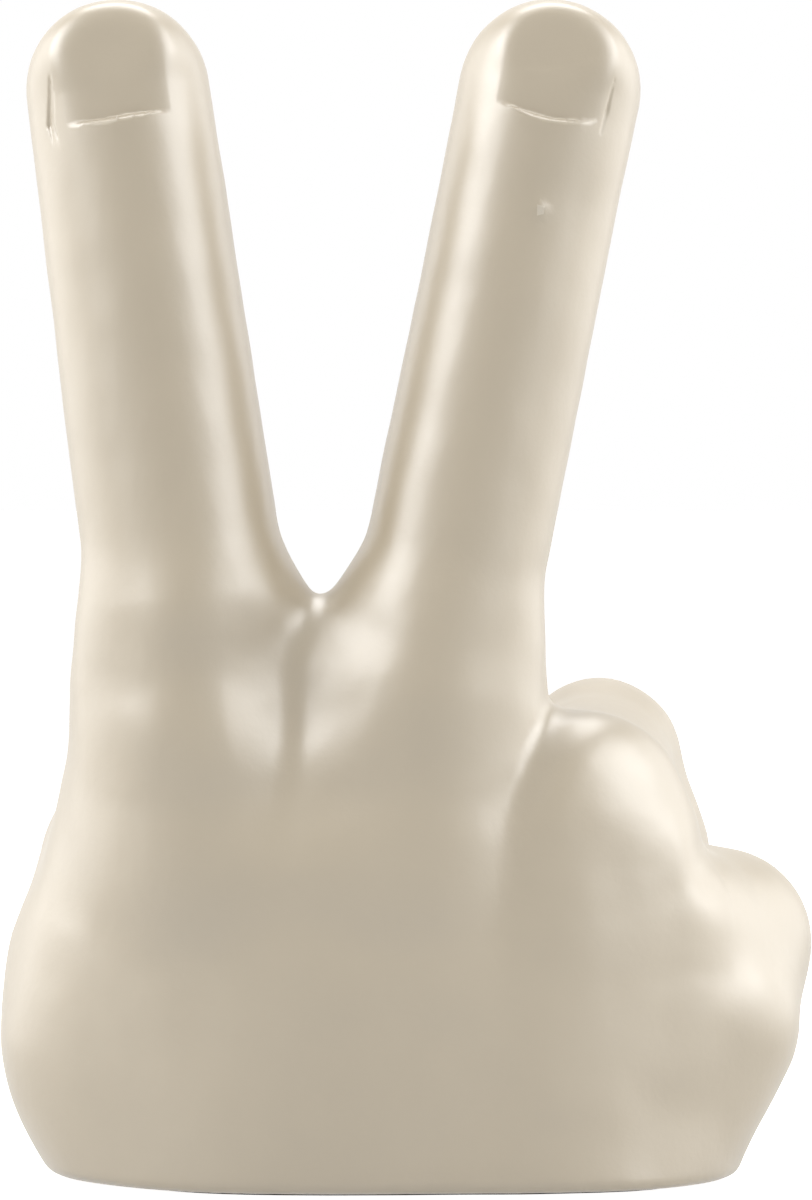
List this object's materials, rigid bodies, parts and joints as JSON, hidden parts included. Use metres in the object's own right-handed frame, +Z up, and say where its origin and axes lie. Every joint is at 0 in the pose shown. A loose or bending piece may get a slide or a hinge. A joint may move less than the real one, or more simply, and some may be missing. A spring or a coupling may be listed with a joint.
{
  "type": "hand sculpture",
  "caption": "Weighted cast hand ornament standing on a flat felted base, index and middle finger raised in a V, the other fingers and thumb folded into the palm.",
  "frame": {"origin": "on the table, under the middle of the whole hand", "axes": "+Z up along the raised fingers, -Y out of the back of the hand, +X towards the little finger"},
  "size_m": [0.0978, 0.0662, 0.1405],
  "materials": {
    "hand_casting": "filled cast resin under a satin off-white lacquer",
    "index_rod": "plain drawn steel",
    "middle_rod": "plain drawn steel",
    "ballast_weight": "rough poured grit mortar",
    "base_cap": "bare cast resin",
    "base_felt": "dark pressed felt"
  },
  "bodies": {
    "root": {"hand_casting": "hand_casting", "index_rod": "index_rod", "middle_rod": "middle_rod", "ballast_weight": "ballast_weight", "base_cap": "base_cap", "base_felt": "base_felt"}
  },
  "joints": []
}
